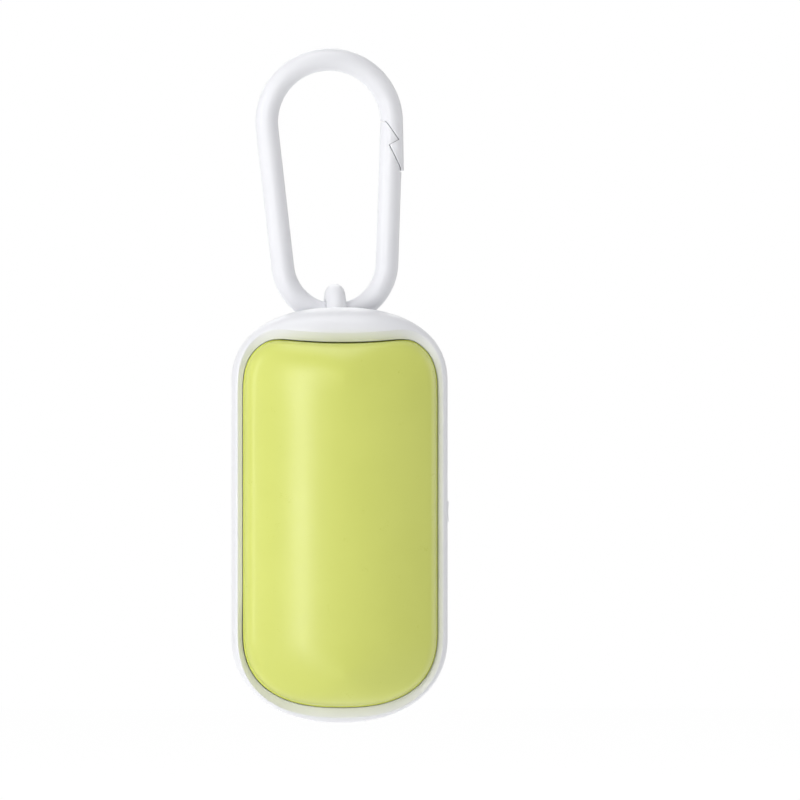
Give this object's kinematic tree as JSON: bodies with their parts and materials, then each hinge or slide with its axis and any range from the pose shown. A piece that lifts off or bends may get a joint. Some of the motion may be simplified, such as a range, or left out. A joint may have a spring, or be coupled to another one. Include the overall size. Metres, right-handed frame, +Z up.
{
  "type": "dog poop bag dispenser",
  "caption": "Pill-shaped hanging dispenser for waste bag rolls: white housing, lime hinged front cover with side latch, rear outlet slot and a moulded snap ring on top.",
  "frame": {"origin": "crook of the snap ring, the lowest point of the inside of its upper bow's top, where it hangs on a hook or a leash loop", "axes": "X to the right seen from the front, Y to the back (the front cover faces -Y), Z up"},
  "size_m": [0.0444, 0.0342, 0.138],
  "materials": {
    "white_shell": "satin",
    "lime_cover": "satin",
    "lip": "matte",
    "steel": "brushed",
    "bag_film": "matte",
    "card": "matte"
  },
  "bodies": {
    "ring": {"snap_ring": "white_shell"},
    "gate": {"ring_gate": "white_shell"},
    "case": {"housing": "white_shell", "hinge_pin": "steel", "outlet_grommet": "lip", "latch_spring": "steel"},
    "cover": {"front_cover": "lime_cover"},
    "button": {"latch_button": "white_shell"},
    "roll": {"bag_roll": "bag_film", "roll_core": "card"}
  },
  "joints": [
    {"name": "case_swing", "type": "hinge", "parent": "ring", "child": "case", "pos_m": [0.00115, 0, -0.04983], "axis": [1, 0, 0], "range_deg": [-50, 90]},
    {"name": "gate_flex", "type": "hinge", "parent": "ring", "child": "gate", "pos_m": [0.01189, 0, -0.03943], "axis": [0, -1, 0], "range_deg": [0, 14], "stiffness_Nm_per_rad": 0.4},
    {"name": "cover_open", "type": "hinge", "parent": "case", "child": "cover", "pos_m": [-0.01475, -0.015, -0.09088], "axis": [0, 0, -1], "range_deg": [0, 80]},
    {"name": "latch_press", "type": "slide", "parent": "case", "child": "button", "axis": [-1, 0, 0], "range_m": [0, 0.0009], "stiffness_N_per_m": 400, "deforming": ["latch_spring"]},
    {"name": "roll_spin", "type": "hinge", "parent": "case", "child": "roll", "pos_m": [0.00115, -0.0058, -0.09088], "axis": [0, 0, 1], "continuous": true}
  ]
}
